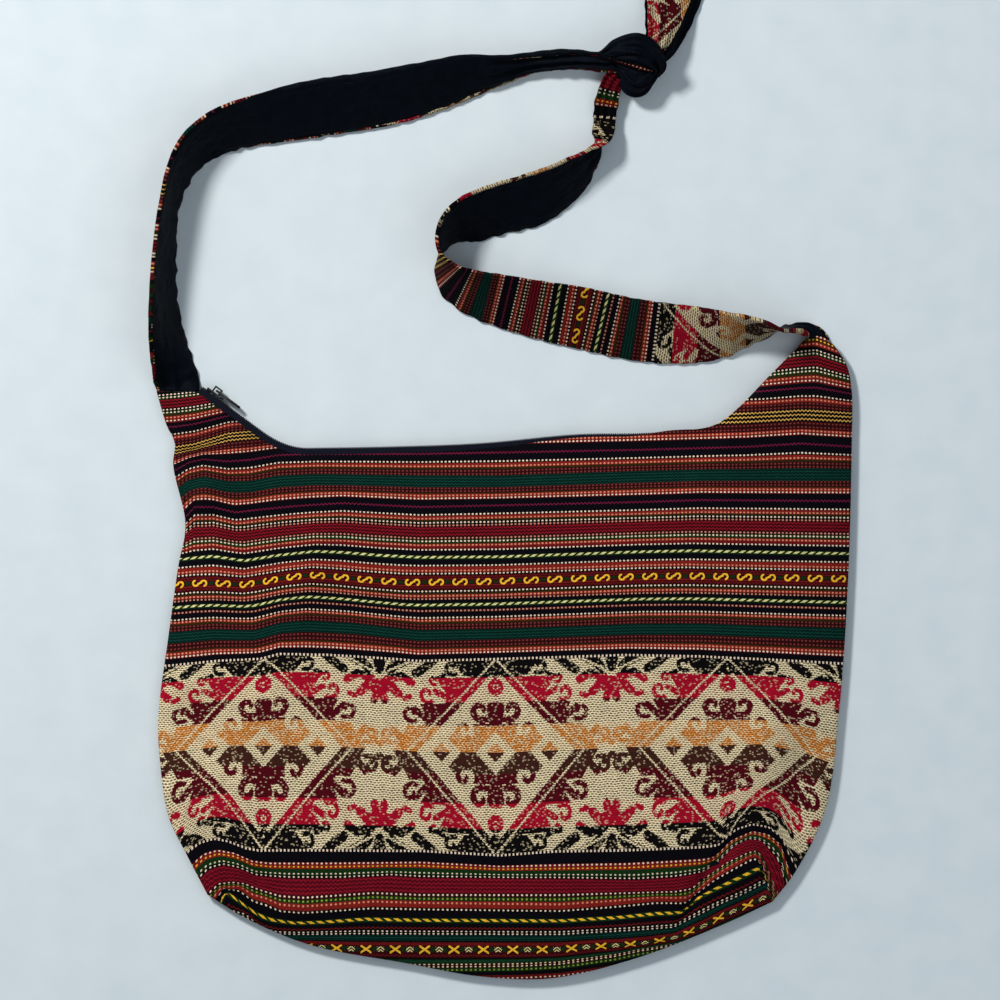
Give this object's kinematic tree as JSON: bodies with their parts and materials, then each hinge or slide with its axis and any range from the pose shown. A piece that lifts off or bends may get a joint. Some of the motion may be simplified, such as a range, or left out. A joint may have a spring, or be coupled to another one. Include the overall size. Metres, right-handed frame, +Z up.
{
  "type": "woven shoulder bag",
  "caption": "Flat-lying hobo shoulder bag of striped woven cloth with a zipped scooped mouth and two lined strap halves tied in an overhand knot.",
  "frame": {"origin": "on the surface the bag lies on, under the middle of its body", "axes": "+Z up from the surface, +Y from the base to the knotted strap, +X to the bag's right as seen from above"},
  "size_m": [0.3992, 0.612, 0.0362],
  "materials": {
    "woven_cloth": "striped jacquard weave, matt",
    "black_cotton": "black cotton, slight sheen",
    "zip_tape": "navy woven tape",
    "zip_coil": "dark moulded coil",
    "zip_metal": "black lacquer, satin"
  },
  "bodies": {
    "bag": {"front_panel": "woven_cloth", "back_panel": "woven_cloth", "strap_left_cloth": "woven_cloth", "strap_right_cloth": "woven_cloth", "tail_upper_cloth": "woven_cloth", "tail_lower_cloth": "woven_cloth", "lining_front": "black_cotton", "lining_back": "black_cotton", "strap_left_lining": "black_cotton", "strap_right_lining": "black_cotton", "tail_upper_lining": "black_cotton", "tail_lower_lining": "black_cotton", "strap_knot": "black_cotton", "zip_tape_front": "zip_tape", "zip_tape_back": "zip_tape", "zip_coil_front": "zip_coil", "zip_coil_back": "zip_coil", "zip_stop_left": "zip_metal", "zip_stop_right": "zip_metal"},
    "slider": {"zip_slider": "zip_metal"},
    "pull": {"zip_pull": "zip_metal"}
  },
  "joints": [
    {"name": "zip_slide", "type": "slide", "parent": "bag", "child": "slider", "axis": [0.8043, -0.5943, 0], "range_m": [0, 0.024]},
    {"name": "pull_hinge", "type": "hinge", "parent": "slider", "child": "pull", "pos_m": [-0.16381, 0.15029, 0.0049], "axis": [0, 0, 1], "range_deg": [0, 140]}
  ]
}
